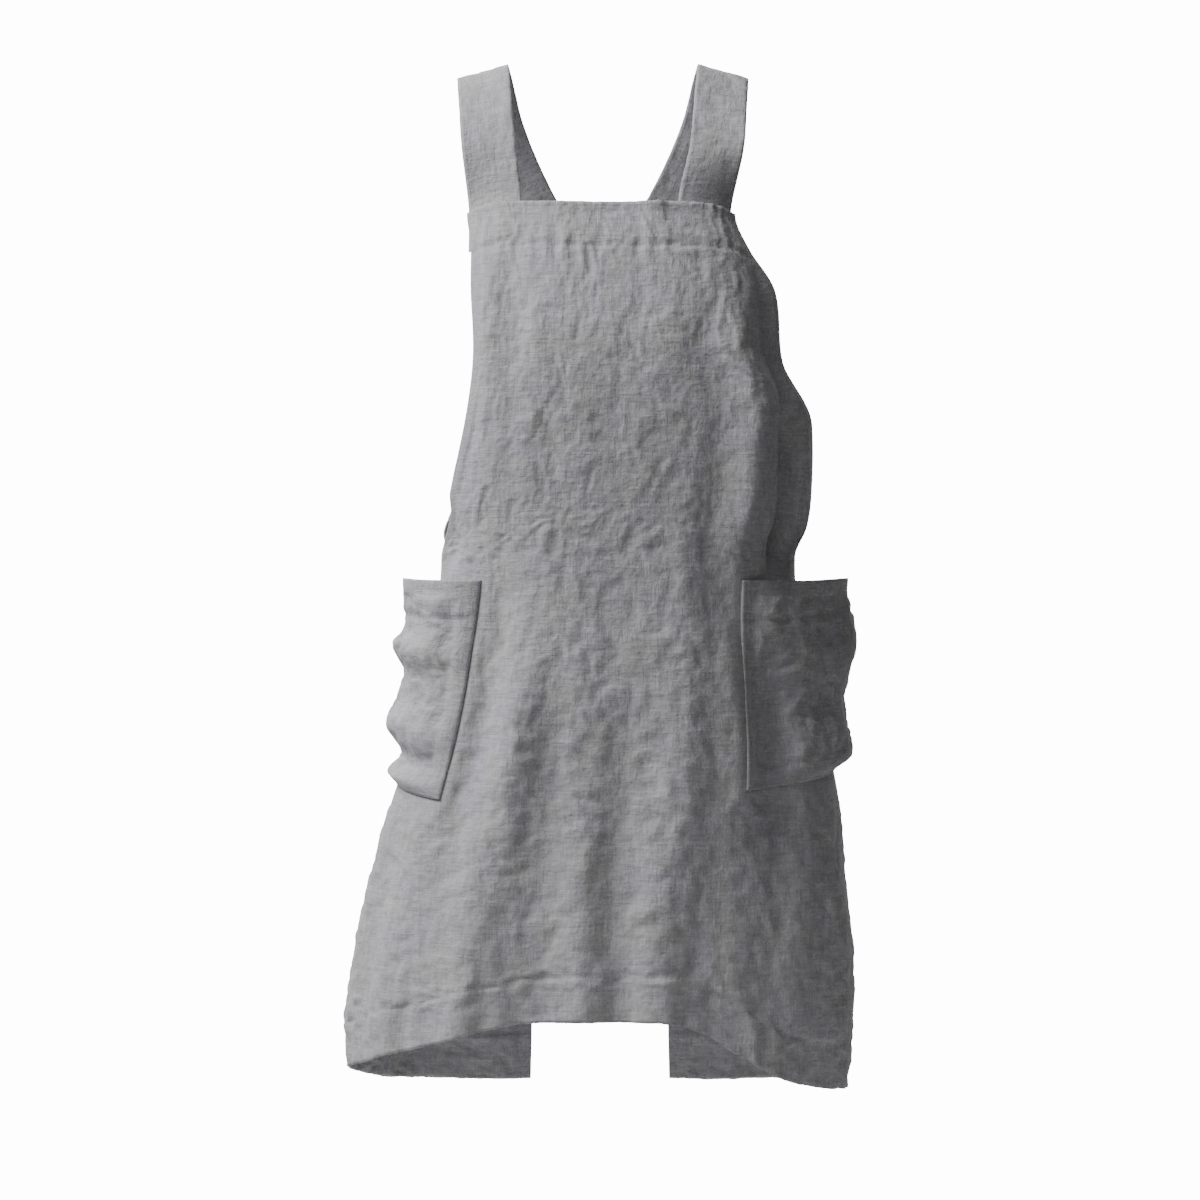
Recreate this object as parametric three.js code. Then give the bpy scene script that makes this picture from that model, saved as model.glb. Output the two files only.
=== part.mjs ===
// A cross back apron in washed linen, in the shape that it has when it is worn: a bib and skirt in front,
// two back panels that leave the middle of the back open, two wide straps that cross behind, and two patch
// pockets over the side seams. Millimetres, +Z up, front towards -Y, the wearer's left towards +X.
// The origin is where the straps rest on the shoulders, midway between them.

import * as THREE from 'three';

// Driving dimensions

const LINEN = 1.2; // wall of one layer of cloth
const HEM_EXTRA = 1.0; // what the turned layers of a hem add to the wall
const SEAM_GAP = 0.6; // clearance between two straps where they cross
const STRAP_GAP = 0.85; // clearance between a strap's end and the band that it is sewn behind
const POCKET_GAP = 0.95; // clearance between a pocket's sewn edges and the cloth under them

const BIB_DROP = 142; // shoulder rest down to the bib's top edge
const FRONT_LENGTH = 830; // bib's top edge down to the hem, at the centre front
const HEM_DIP = 94; // how much lower the hem hangs at the back than at the centre front
const HEM_HALF_WIDTH = 262; // half the skirt's width at the hem
const HEM_DEPTH = 150; // centre line of the sides forward to the front of the skirt

const SIDE_SEAM = 92; // side seams, in degrees round from the centre front
const SEAM_SPLIT = 0.08; // half the angle left free between two panels at a side seam
const BACK_GAP = 150; // open width between the back panels at the hem
const BACK_GAP_TOP = 118; // open width between the back panels at their top corners
const BACK_TOP_DROP = 238; // bib's top edge down to the top corners of the back panels

const BIB_BAND = 45; // depth of the turned band along the bib's top edge
const HEM_BAND = 46; // depth of the turned hem
const BIB_SAG = 5; // sag of the bib's top edge between the straps
const CORNER_DROOP = 14; // how far the bib's top corners hang below the edge's middle

const STRAP_WIDTH = 55;
const STRAP_SPREAD = 122; // centre of the back to the middle of the left strap on the shoulder
const RIGHT_SPREAD = 1.05; // the right strap's spread as a share of the left one's
const STRAP_LAP = 40; // length of a strap's end that is sewn in behind a band
const STRAP_ROLL = 16; // degrees that a strap leans outwards on the shoulder

const POCKET_DROP = 388; // bib's top edge down to the pocket mouths
const LEFT_POCKET_HEIGHT = 222; // pocket mouth down to the front bottom corner
const RIGHT_POCKET_HEIGHT = 212;
const POCKET_LIFT = 28; // how much higher the rear bottom corner of a pocket is
const POCKET_BAND = 40; // depth of the turned band at a pocket mouth
const POCKET_BULGE = 50; // how far a full pocket stands off the body

const FOLD_HEIGHT = 26; // height of a full-size fold

// Tables

// The body's section. down is a share of the length from the bib's top edge to the hem, left and right are
// half-widths as shares of HEM_HALF_WIDTH, front and back are depths as shares of HEM_DEPTH, and square is the
// section's exponent: 2 is an ellipse, more is squarer.
const SECTIONS = [
  { down: 0.0, left: 0.63, right: 0.63, front: 0.72, back: 0.67, square: 2.6 },
  { down: 0.04, left: 0.63, right: 0.67, front: 0.78, back: 0.67, square: 2.8 },
  { down: 0.09, left: 0.63, right: 0.735, front: 0.86, back: 0.68, square: 3 },
  { down: 0.17, left: 0.615, right: 0.765, front: 0.96, back: 0.68, square: 3.1 },
  { down: 0.24, left: 0.625, right: 0.85, front: 0.975, back: 0.67, square: 3.1 },
  { down: 0.3, left: 0.65, right: 0.845, front: 0.97, back: 0.66, square: 3 },
  { down: 0.355, left: 0.655, right: 0.82, front: 0.96, back: 0.67, square: 2.9 },
  { down: 0.39, left: 0.628, right: 0.772, front: 0.955, back: 0.69, square: 2.8 },
  { down: 0.43, left: 0.634, right: 0.778, front: 0.95, back: 0.7, square: 2.6 },
  { down: 0.47, left: 0.65, right: 0.8, front: 0.95, back: 0.72, square: 2.5 },
  { down: 0.52, left: 0.687, right: 0.84, front: 0.953, back: 0.75, square: 2.4 },
  { down: 0.58, left: 0.725, right: 0.885, front: 0.96, back: 0.79, square: 2.4 },
  { down: 0.64, left: 0.775, right: 0.931, front: 0.965, back: 0.81, square: 2.4 },
  { down: 0.69, left: 0.83, right: 0.958, front: 0.967, back: 0.83, square: 2.4 },
  { down: 0.75, left: 0.889, right: 0.972, front: 0.973, back: 0.84, square: 2.4 },
  { down: 0.85, left: 0.969, right: 1.004, front: 0.987, back: 0.853, square: 2.4 },
  { down: 0.95, left: 1.01, right: 0.992, front: 1.0, back: 0.865, square: 2.4 },
  { down: 1.0, left: 1.0, right: 0.973, front: 1.0, back: 0.867, square: 2.4 },
];

// The armhole edges of the front panel, in degrees round from the centre front.
const ARMHOLES = [
  { down: 0.0, left: 49.5, right: 50.75 },
  { down: 0.04, left: 46.25, right: 51.75 },
  { down: 0.09, left: 45, right: 58 },
  { down: 0.17, left: 44.5, right: 57 },
  { down: 0.24, left: 46.5, right: 66 },
  { down: 0.3, left: 50, right: 70.5 },
  { down: 0.355, left: 57.5, right: 77 },
  { down: 0.39, left: 70, right: 83.75 },
  { down: 0.415, left: SIDE_SEAM, right: SIDE_SEAM },
  { down: 1.0, left: SIDE_SEAM, right: SIDE_SEAM },
];

// How far the hem dips round the body, as shares of HEM_DIP. angle is in degrees, negative to the left.
const HEM_LINE = [
  { angle: -180, dip: 1.0 },
  { angle: -140, dip: 0.97 },
  { angle: -92, dip: 0.7 },
  { angle: -64, dip: 0.53 },
  { angle: -47, dip: 0.37 },
  { angle: -33, dip: 0.21 },
  { angle: -24, dip: 0.09 },
  { angle: -14, dip: 0.01 },
  { angle: 11, dip: 0.0 },
  { angle: 22, dip: 0.1 },
  { angle: 29, dip: 0.3 },
  { angle: 43, dip: 0.65 },
  { angle: 80, dip: 0.87 },
  { angle: 140, dip: 0.98 },
  { angle: 180, dip: 1.0 },
];

// The top edge of a back panel, from the side seam round to its top corner. round is a share of that angle,
// rise a share of the height between the armhole's lowest point and the corner.
const BACK_TOP = [
  { round: 0.0, rise: 0.0 },
  { round: 0.2, rise: 0.09 },
  { round: 0.45, rise: 0.47 },
  { round: 0.65, rise: 0.86 },
  { round: 0.8, rise: 0.985 },
  { round: 1.0, rise: 1.0 },
];

// Folds in the body. A fold runs from one share of the length to another, its crest goes from the start
// angle to the end angle, spread is its half-width in degrees, and height is a share of FOLD_HEIGHT: a ridge
// is positive, a valley negative.
const FOLDS = [
  { from: 0.05, to: 0.42, start: -38, end: -40, spread: 4, height: 0.14 },
  { from: 0.04, to: 0.4, start: -29, end: -29, spread: 4, height: -0.12 },
  { from: 0.06, to: 0.56, start: 30, end: 29, spread: 4.5, height: -0.14 },
  { from: 0.08, to: 0.5, start: 40, end: 38, spread: 5, height: 0.4 },
  { from: 0.04, to: 0.3, start: 50, end: 51.5, spread: 3.5, height: -0.3 },
  { from: 0.2, to: 0.46, start: 51, end: 58, spread: 5, height: -1.15 },
  { from: 0.33, to: 0.43, start: -55, end: -60, spread: 6, height: -0.35 },
  { from: 0.48, to: 1.04, start: -20, end: -31, spread: 6, height: 0.4 },
  { from: 0.42, to: 0.86, start: -33, end: -37, spread: 4.5, height: -0.28 },
  { from: 0.6, to: 1.04, start: -13, end: -14, spread: 5, height: -0.14 },
  { from: 0.66, to: 1.04, start: -3, end: -3, spread: 5, height: 0.18 },
  { from: 0.55, to: 1.04, start: 5, end: 3, spread: 5, height: -0.2 },
  { from: 0.3, to: 1.04, start: 28, end: 10, spread: 6, height: 0.3 },
  { from: 0.45, to: 0.8, start: 36, end: 30, spread: 5, height: 0.25 },
  { from: 0.45, to: 0.85, start: 46, end: 40, spread: 7, height: -0.42 },
  { from: 0.7, to: 1.04, start: 62, end: 66, spread: 8, height: 0.3 },
  { from: 0.7, to: 1.04, start: -62, end: -66, spread: 8, height: -0.3 },
  { from: 0.5, to: 1.04, start: -118, end: -116, spread: 9, height: -0.45 },
  { from: 0.42, to: 1.04, start: -137, end: -138, spread: 8, height: 0.42 },
  { from: 0.45, to: 1.04, start: -153, end: -154, spread: 7, height: -0.35 },
  { from: 0.5, to: 1.04, start: 116, end: 113, spread: 9, height: -0.4 },
  { from: 0.42, to: 1.04, start: 134, end: 136, spread: 8, height: 0.46 },
  { from: 0.45, to: 1.04, start: 151, end: 154, spread: 7, height: -0.38 },
];

// The pockets, in degrees round from the centre front at the mouth and at the bottom, with the fullness
// down each pocket as shares of POCKET_BULGE. A skew over 1 moves the fullness towards the back, one under 1
// towards the front. Each dent has its place and its reach, as shares of the pocket's width and height, and
// how far it goes out or in as a share of POCKET_BULGE.
const POCKETS = [
  {
    side: 'left',
    sign: -1,
    height: LEFT_POCKET_HEIGHT,
    skewTop: 0.9,
    skewBottom: 0.9,
    innerTop: 41.5,
    innerBottom: 43.5,
    outerTop: 121,
    outerBottom: 117,
    fullness: [
      { down: 0, out: 0.74 },
      { down: 0.16, out: 0.63 },
      { down: 0.24, out: 0.56 },
      { down: 0.35, out: 0.68 },
      { down: 0.46, out: 0.36 },
      { down: 0.55, out: 0.47 },
      { down: 0.7, out: 0.59 },
      { down: 0.88, out: 0.1 },
      { down: 0.96, out: 0.26 },
      { down: 1, out: 0 },
    ],
    dents: [
      { across: 0.3, down: 0.4, wide: 0.25, tall: 0.12, out: 0.12 },
      { across: 0.3, down: 0.6, wide: 0.28, tall: 0.11, out: -0.16 },
      { across: 0.3, down: 0.85, wide: 0.3, tall: 0.06, out: -0.08 },
    ],
  },
  {
    side: 'right',
    sign: 1,
    height: RIGHT_POCKET_HEIGHT,
    skewTop: 1.4,
    skewBottom: 1.6,
    innerTop: 40,
    innerBottom: 33.5,
    outerTop: 113,
    outerBottom: 108,
    fullness: [
      { down: 0, out: 1.06 },
      { down: 0.13, out: 1 },
      { down: 0.27, out: 1.04 },
      { down: 0.42, out: 0.94 },
      { down: 0.58, out: 0.64 },
      { down: 0.75, out: 0.49 },
      { down: 0.88, out: 0.43 },
      { down: 0.95, out: 0.4 },
      { down: 1, out: 0 },
    ],
    dents: [
      { across: 0.42, down: 0.3, wide: 0.12, tall: 0.14, out: -0.14 },
      { across: 0.36, down: 0.62, wide: 0.14, tall: 0.14, out: -0.12 },
      { across: 0.45, down: 0.84, wide: 0.3, tall: 0.1, out: 0.1 },
    ],
  },
];

// A strap's free length between the bib and the back panel. across is a share of STRAP_SPREAD from the
// middle, depth a share of HEM_DEPTH, drop a share of BIB_DROP, and the strap's face looks along lean,
// in degrees from straight forward over the top towards the back.
const STRAP_PATH = [
  { across: 0.93, depth: -0.56, drop: 0.62, lean: 18 },
  { across: 0.965, depth: -0.4, drop: 0.28, lean: 38 },
  { across: 0.99, depth: -0.2, drop: 0.06, lean: 68 },
  { across: 1.0, depth: 0.0, drop: 0.0, lean: 92 },
  { across: 0.97, depth: 0.2, drop: 0.08, lean: 122 },
  { across: 0.88, depth: 0.42, drop: 0.38, lean: 150 },
  { across: 0.66, depth: 0.58, drop: 0.82, lean: 166 },
  { across: 0.3, depth: 0.69, drop: 1.36, lean: 176 },
  { across: -0.08, depth: 0.71, drop: 1.86, lean: 180 },
  { across: -0.45, depth: 0.645, drop: 2.3, lean: 184 },
];

// Counts of cells in the walls

const FRONT_COLUMNS = 46;
const FRONT_ROWS = 30;
const BACK_COLUMNS = 12;
const BACK_ROWS = 18;
const POCKET_COLUMNS = 12;
const POCKET_ROWS = 11;
const STRAP_COLUMNS = 3;
const STRAP_STEPS = 4; // along the strap, between two rows of its table

// Small helpers

const radians = THREE.MathUtils.degToRad;
const mix = THREE.MathUtils.lerp;
const ease = THREE.MathUtils.smoothstep;

// A smooth curve through one column of a table, read at any value of its key. It stays between the values
// of neighbouring rows.
function curve(table, key, column) {
  const rise = (a, b) => (b[column] - a[column]) / (b[key] - a[key]);
  const slopes = table.map((row, i) => {
    if (i === 0 || i === table.length - 1) return 0;
    const before = rise(table[i - 1], row);
    const after = rise(row, table[i + 1]);
    if (before * after <= 0) return 0;
    return Math.sign(before) * Math.min(Math.abs(before + after) / 2, 3 * Math.abs(before), 3 * Math.abs(after));
  });
  return (at) => {
    const x = Math.min(Math.max(at, table[0][key]), table[table.length - 1][key]);
    let i = 0;
    while (i < table.length - 2 && x > table[i + 1][key]) i += 1;
    const a = table[i];
    const b = table[i + 1];
    const span = b[key] - a[key];
    const t = (x - a[key]) / span;
    const rest = 1 - t;
    return (
      rest * rest * (1 + 2 * t) * a[column] +
      t * t * (3 - 2 * t) * b[column] +
      t * rest * rest * span * slopes[i] -
      t * t * rest * span * slopes[i + 1]
    );
  };
}

// The body: one surface that every panel and pocket is laid on

const section = {
  left: curve(SECTIONS, 'down', 'left'),
  right: curve(SECTIONS, 'down', 'right'),
  front: curve(SECTIONS, 'down', 'front'),
  back: curve(SECTIONS, 'down', 'back'),
  square: curve(SECTIONS, 'down', 'square'),
};
const armhole = { left: curve(ARMHOLES, 'down', 'left'), right: curve(ARMHOLES, 'down', 'right') };
const hemDip = curve(HEM_LINE, 'angle', 'dip');
const backRise = curve(BACK_TOP, 'round', 'rise');

const bibCorner = ARMHOLES[0].left;

// Height of the bib's top edge, carried on round the body as the start of its length.
function topHeight(angle) {
  const toCorner = Math.min(Math.abs(angle) / bibCorner, 1);
  return -BIB_DROP - BIB_SAG * (1 - toCorner ** 2) - CORNER_DROOP * toCorner ** 6;
}

function hemHeight(angle) {
  return -BIB_DROP - FRONT_LENGTH - HEM_DIP * hemDip(angle);
}

function shareDown(angle, z) {
  return (topHeight(angle) - z) / (topHeight(angle) - hemHeight(angle));
}

function heightAt(angle, down) {
  return mix(topHeight(angle), hemHeight(angle), down);
}

// Height of the folds over the smooth section, at an angle and a share of the length.
function foldHeight(angle, down) {
  let height = 0;
  for (const fold of FOLDS) {
    const along = (down - fold.from) / (fold.to - fold.from);
    if (along <= 0 || along >= 1) continue;
    const aside = (angle - mix(fold.start, fold.end, along)) / fold.spread;
    const fade = ease(along, 0, 0.35) * (fold.to > 1 ? 1 : 1 - ease(along, 0.6, 1));
    height += FOLD_HEIGHT * fold.height * fade * Math.exp(-aside * aside);
  }
  return height;
}

// A point of the smooth section, with no folds.
function bodyPoint(angle, z) {
  const down = shareDown(angle, z);
  const turn = radians(angle);
  const sine = Math.sin(turn);
  const cosine = Math.cos(turn);
  const square = section.square(down);
  const reach = (Math.abs(sine) ** square + Math.abs(cosine) ** square) ** (-1 / square);
  const halfWidth = HEM_HALF_WIDTH * (angle < 0 ? section.left(down) : section.right(down));
  const depth = HEM_DEPTH * (Math.abs(angle) < 90 ? section.front(down) : section.back(down));
  return new THREE.Vector3(halfWidth * reach * sine, -depth * reach * cosine, z);
}

// The outward normal of a surface given by angle and height.
function outward(surface, angle, z) {
  const step = 0.5;
  const round = surface(angle + step, z).sub(surface(angle - step, z));
  const up = surface(angle, z + step).sub(surface(angle, z - step));
  return round.cross(up).normalize();
}

// The cloth's outer face, folds included.
function clothPoint(angle, z) {
  const point = bodyPoint(angle, z);
  return point.addScaledVector(outward(bodyPoint, angle, z), foldHeight(angle, shareDown(angle, z)));
}

function offCloth(angle, z, distance) {
  return clothPoint(angle, z).addScaledVector(outward(clothPoint, angle, z), distance);
}

// The angle at which the body has a given x, found between two angles by halving.
function angleAtX(x, z, low, high) {
  let [a, b] = [low, high];
  for (let i = 0; i < 40; i += 1) {
    const middle = (a + b) / 2;
    if ((clothPoint(middle, z).x - x) * (clothPoint(a, z).x - x) > 0) a = middle;
    else b = middle;
  }
  return (a + b) / 2;
}

// Closed walls from a grid of cells with an outer and an inner face

function wall(columns, rows, outerAt, innerAt) {
  const positions = [];
  const indices = [];
  const perFace = (columns + 1) * (rows + 1);
  for (const face of [outerAt, innerAt]) {
    for (let j = 0; j <= rows; j += 1) {
      for (let i = 0; i <= columns; i += 1) positions.push(...face(i, j).toArray());
    }
  }
  const outer = (i, j) => j * (columns + 1) + i;
  const inner = (i, j) => perFace + outer(i, j);
  const quad = (a, b, c, d) => indices.push(a, b, c, a, c, d);
  for (let j = 0; j < rows; j += 1) {
    for (let i = 0; i < columns; i += 1) {
      quad(outer(i, j), outer(i, j + 1), outer(i + 1, j + 1), outer(i + 1, j));
      quad(inner(i, j), inner(i + 1, j), inner(i + 1, j + 1), inner(i, j + 1));
    }
    quad(outer(0, j), inner(0, j), inner(0, j + 1), outer(0, j + 1));
    quad(outer(columns, j), outer(columns, j + 1), inner(columns, j + 1), inner(columns, j));
  }
  for (let i = 0; i < columns; i += 1) {
    quad(outer(i, 0), outer(i + 1, 0), inner(i + 1, 0), inner(i, 0));
    quad(outer(i, rows), inner(i, rows), inner(i + 1, rows), outer(i + 1, rows));
  }
  const geometry = new THREE.BufferGeometry();
  geometry.setAttribute('position', new THREE.Float32BufferAttribute(positions, 3));
  geometry.setIndex(indices);
  return geometry;
}

const LINEN_GREY = 0x8f8f92;

function piece(name, geometry) {
  const flat = geometry.toNonIndexed();
  flat.computeVertexNormals();
  const linen = new THREE.MeshStandardMaterial({ color: LINEN_GREY, roughness: 0.92, metalness: 0 });
  const mesh = new THREE.Mesh(flat, linen);
  mesh.name = name;
  return mesh;
}

// Rows down a panel between its top edge and the hem: a turned band at each end where the panel has one,
// with a short step where the band's extra layers start.
const BAND_STEP = 2;

function bandedRows(rows, topBand, bottomBand) {
  const list = [{ from: 'top', by: 0, layers: topBand > 0 ? 1 : 0 }];
  if (topBand > 0) {
    list.push({ from: 'top', by: topBand / 2, layers: 1 }, { from: 'top', by: topBand, layers: 1 });
    list.push({ from: 'top', by: topBand + BAND_STEP, layers: 0 });
  }
  const ends = list.length + (bottomBand > 0 ? 4 : 1);
  const plain = rows + 1 - ends;
  for (let k = 1; k <= plain; k += 1) list.push({ from: 'between', by: k / (plain + 1), layers: 0 });
  if (bottomBand > 0) {
    list.push({ from: 'bottom', by: bottomBand + BAND_STEP, layers: 0 });
    list.push({ from: 'bottom', by: bottomBand, layers: 1 }, { from: 'bottom', by: bottomBand / 2, layers: 1 });
  }
  list.push({ from: 'bottom', by: 0, layers: bottomBand > 0 ? 1 : 0 });
  return list;
}

function rowHeight(row, top, bottom, topBand, bottomBand) {
  if (row.from === 'top') return top - row.by;
  if (row.from === 'bottom') return bottom + row.by;
  const start = top - (topBand > 0 ? topBand + BAND_STEP : 0);
  const end = bottom + (bottomBand > 0 ? bottomBand + BAND_STEP : 0);
  return mix(start, end, row.by);
}

// Panels

function panel(name, columns, rows, topBand, place) {
  const list = bandedRows(rows, topBand, HEM_BAND);
  const at = (i, j) => {
    const { angle, top, bottom } = place(i / columns, list[j]);
    return { angle, z: rowHeight(list[j], top, bottom, topBand, HEM_BAND) };
  };
  const outerAt = (i, j) => {
    const { angle, z } = at(i, j);
    return clothPoint(angle, z);
  };
  const innerAt = (i, j) => {
    const { angle, z } = at(i, j);
    return offCloth(angle, z, -LINEN - HEM_EXTRA * list[j].layers);
  };
  return piece(name, wall(columns, rows, outerAt, innerAt));
}

// The front's edges follow the armholes down to the side seams. A row's share of the length at the centre
// front says where it meets the armhole.
function frontPanel() {
  return panel('front_panel', FRONT_COLUMNS, FRONT_ROWS, BIB_BAND, (across, row) => {
    const down = shareDown(0, rowHeight(row, topHeight(0), hemHeight(0), BIB_BAND, HEM_BAND));
    const angle = mix(SEAM_SPLIT - armhole.left(down), armhole.right(down) - SEAM_SPLIT, across);
    return { angle, top: topHeight(angle), bottom: hemHeight(angle) };
  });
}

const backTopHeight = -BIB_DROP - BACK_TOP_DROP;

// The angle of a back panel's free edge at a height, on one side.
function backEdge(sign, z) {
  const down = THREE.MathUtils.inverseLerp(backTopHeight, hemHeight(180), z);
  const half = mix(BACK_GAP_TOP, BACK_GAP, down) / 2;
  return angleAtX(sign * half, z, sign * 179, sign * SIDE_SEAM);
}

function armholeBottom(sign) {
  const lowest = ARMHOLES[ARMHOLES.length - 2].down;
  return heightAt(sign * SIDE_SEAM, lowest);
}

function backPanel(side, sign) {
  const seam = sign * (SIDE_SEAM + SEAM_SPLIT);
  const corner = backEdge(sign, backTopHeight);
  return panel(`back_panel_${side}`, BACK_COLUMNS, BACK_ROWS, BIB_BAND, (across, row) => {
    const round = sign < 0 ? 1 - across : across;
    const rough = rowHeight(row, backTopHeight, hemHeight(corner), BIB_BAND, HEM_BAND);
    const angle = mix(seam, backEdge(sign, rough), round);
    const top = mix(armholeBottom(sign), backTopHeight, backRise(round));
    return { angle, top, bottom: hemHeight(angle) };
  });
}

// Pockets

function dentHeight(dents, across, down) {
  let height = 0;
  for (const dent of dents) {
    const aside = (across - dent.across) / dent.wide;
    const below = (down - dent.down) / dent.tall;
    height += dent.out * Math.exp(-aside * aside - below * below);
  }
  return height;
}

function pocket({ side, sign, height, skewTop, skewBottom, innerTop, innerBottom, outerTop, outerBottom, fullness, dents }) {
  const fullAt = curve(fullness, 'down', 'out');
  const list = bandedRows(POCKET_ROWS, POCKET_BAND, 0);
  const mouth = -BIB_DROP - POCKET_DROP;
  const at = (i, j) => {
    const across = sign < 0 ? 1 - i / POCKET_COLUMNS : i / POCKET_COLUMNS;
    const bottom = mouth - height + POCKET_LIFT * across;
    const z = rowHeight(list[j], mouth, bottom, POCKET_BAND, 0);
    const down = (mouth - z) / (mouth - bottom);
    const angle = sign * mix(mix(innerTop, innerBottom, down), mix(outerTop, outerBottom, down), across);
    const skew = mix(skewTop, skewBottom, down);
    const arch = Math.sin(Math.PI * across ** skew) ** skew;
    const sewn = ease(Math.min(across, 1 - down), 0, 0.1);
    return { angle, z, out: POCKET_BULGE * (fullAt(down) * arch + sewn * dentHeight(dents, across, down)) };
  };
  const standingOff = (i, j, wall) => {
    const { angle, z, out } = at(i, j);
    return offCloth(angle, z, POCKET_GAP + wall).addScaledVector(outward(bodyPoint, angle, z), out);
  };
  const innerAt = (i, j) => standingOff(i, j, 0);
  const outerAt = (i, j) => standingOff(i, j, LINEN + HEM_EXTRA * list[j].layers);
  return piece(`pocket_${side}`, wall(POCKET_COLUMNS, POCKET_ROWS, outerAt, innerAt));
}

// Straps

// A point just inside the cloth, clear of the panel's band, at a given x and height.
function behindBand(x, z, back) {
  const sign = Math.sign(x);
  const angle = back ? angleAtX(x, z, sign * 179, sign * SIDE_SEAM) : angleAtX(x, z, 0, sign * 89);
  return offCloth(angle, z, -LINEN - HEM_EXTRA - STRAP_GAP);
}

function strapSpread(sign) {
  return sign < 0 ? STRAP_SPREAD : STRAP_SPREAD * RIGHT_SPREAD;
}

// The lines of points along one strap, one for each place across its width.
function strapLine(sign, widthShare, over) {
  const aside = (widthShare * STRAP_WIDTH) / 2;
  const spread = sign * strapSpread(sign);
  const points = [];
  const bibX = sign * (clothPoint(bibCorner, topHeight(bibCorner)).x - STRAP_WIDTH / 2);
  const edge = topHeight(angleAtX(bibX + aside, topHeight(bibCorner), 0, sign * 89));
  for (const lap of [1, 0.5, -0.1]) points.push(behindBand(bibX + aside, edge - lap * STRAP_LAP, false));
  STRAP_PATH.forEach((row, k) => {
    const next = STRAP_PATH[Math.min(k + 1, STRAP_PATH.length - 1)];
    const last = STRAP_PATH[Math.max(k - 1, 0)];
    const centre = new THREE.Vector3(
      row.across * spread,
      row.depth * HEM_DEPTH,
      -row.drop * BIB_DROP,
    );
    const along = new THREE.Vector3(
      (next.across - last.across) * spread,
      (next.depth - last.depth) * HEM_DEPTH,
      -(next.drop - last.drop) * BIB_DROP,
    );
    const lean = radians(row.lean);
    const roll = radians(STRAP_ROLL) * Math.sin(lean) * sign;
    const face = new THREE.Vector3(Math.sin(roll), -Math.cos(lean), Math.sin(lean)).normalize();
    const width = new THREE.Vector3().crossVectors(along, face).normalize();
    const lift = over * (LINEN + SEAM_GAP) * Math.exp(-((row.across / 0.35) ** 2));
    points.push(centre.addScaledVector(width, aside).addScaledVector(face, lift));
  });
  return points;
}

function strap(side, sign, over) {
  const lines = [];
  for (let i = 0; i <= STRAP_COLUMNS; i += 1) {
    const widthShare = 1 - (2 * i) / STRAP_COLUMNS;
    const points = strapLine(sign, widthShare, over);
    points.push(...strapEnd(sign, widthShare));
    lines.push(new THREE.CatmullRomCurve3(points, false, 'centripetal'));
  }
  const rows = (lines[0].points.length - 1) * STRAP_STEPS;
  const outer = (i, j) => lines[i].getPoint(j / rows);
  const facing = (i, j) => {
    const [left, right] = [lines[0].getPoint(j / rows), lines[STRAP_COLUMNS].getPoint(j / rows)];
    const along = lines[i].getTangent(j / rows);
    return along.cross(right.sub(left)).normalize();
  };
  const inner = (i, j) => outer(i, j).addScaledVector(facing(i, j), -LINEN);
  return piece(`shoulder_strap_${side}`, wall(STRAP_COLUMNS, rows, outer, inner));
}

// The end of a strap that has crossed the back, sewn in behind the other side's top corner.
function strapEnd(sign, widthShare) {
  const last = STRAP_PATH[STRAP_PATH.length - 1];
  const cornerX = -sign * (BACK_GAP_TOP / 2 + STRAP_WIDTH * 0.62);
  const from = new THREE.Vector2(sign * last.across * strapSpread(sign), -last.drop * BIB_DROP);
  const to = new THREE.Vector2(cornerX, backTopHeight - STRAP_LAP * 0.2);
  const along = to.clone().sub(from).normalize();
  const width = new THREE.Vector2(-along.y, along.x).multiplyScalar((widthShare * STRAP_WIDTH) / 2);
  return [0, 0.4, 0.8].map((lap) => {
    const place = to.clone().addScaledVector(along, lap * STRAP_LAP).add(width);
    return behindBand(place.x, place.y, true);
  });
}

// The apron

const apron = new THREE.Group();
apron.name = 'cross_back_apron';
apron.add(frontPanel());
for (const shape of POCKETS) {
  apron.add(backPanel(shape.side, shape.sign));
  apron.add(pocket(shape));
  apron.add(strap(shape.side, shape.sign, Math.max(shape.sign, 0) * 2));
}

export default apron;
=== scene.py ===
"""A cross back apron in washed linen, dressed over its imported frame, in the shape that it has when worn.

The front faces -Y, and left and right are those of a viewer who looks at the front. The origin is where
the straps rest on the shoulders. Shapes are worked out in millimetres, and a mesh is made in metres.
"""

import math

import bpy
import numpy as np
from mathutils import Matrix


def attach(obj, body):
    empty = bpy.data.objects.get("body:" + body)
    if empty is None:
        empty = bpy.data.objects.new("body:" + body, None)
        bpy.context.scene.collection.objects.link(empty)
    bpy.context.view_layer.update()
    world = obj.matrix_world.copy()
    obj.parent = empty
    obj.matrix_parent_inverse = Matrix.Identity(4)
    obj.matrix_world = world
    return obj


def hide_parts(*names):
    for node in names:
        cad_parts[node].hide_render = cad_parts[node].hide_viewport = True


METRES = 0.001

# Sizes of the cut, in millimetres

CLOTH = 0.9  # one layer of linen
HEM_EXTRA = 1.1  # what the turned layers of a hem add
STRAP_EXTRA = 0.4  # what a strap's second layer adds
POCKET_GAP = 0.95  # clearance of a pocket's sewn edge over the panels
STRAP_GAP = 0.9  # clearance of a strap's end behind its band

BIB_DROP = 142  # from the shoulders down to the bib's top edge
FRONT_LENGTH = 830
HEM_DIP = 94  # how far the hem hangs lower at the back than at the front's middle
HEM_HALF_WIDTH = 262
HEM_DEPTH = 150  # from the middle to the front

SIDE_SEAM = 92  # degrees round from the centre front
BACK_GAP = 150  # open width between the back panels at the hem
BACK_GAP_TOP = 118  # and at their top corners
BACK_TOP_DROP = 238  # from the bib's top edge down to these corners
BACK_CORNER_HEIGHT = -BIB_DROP - BACK_TOP_DROP

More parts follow.
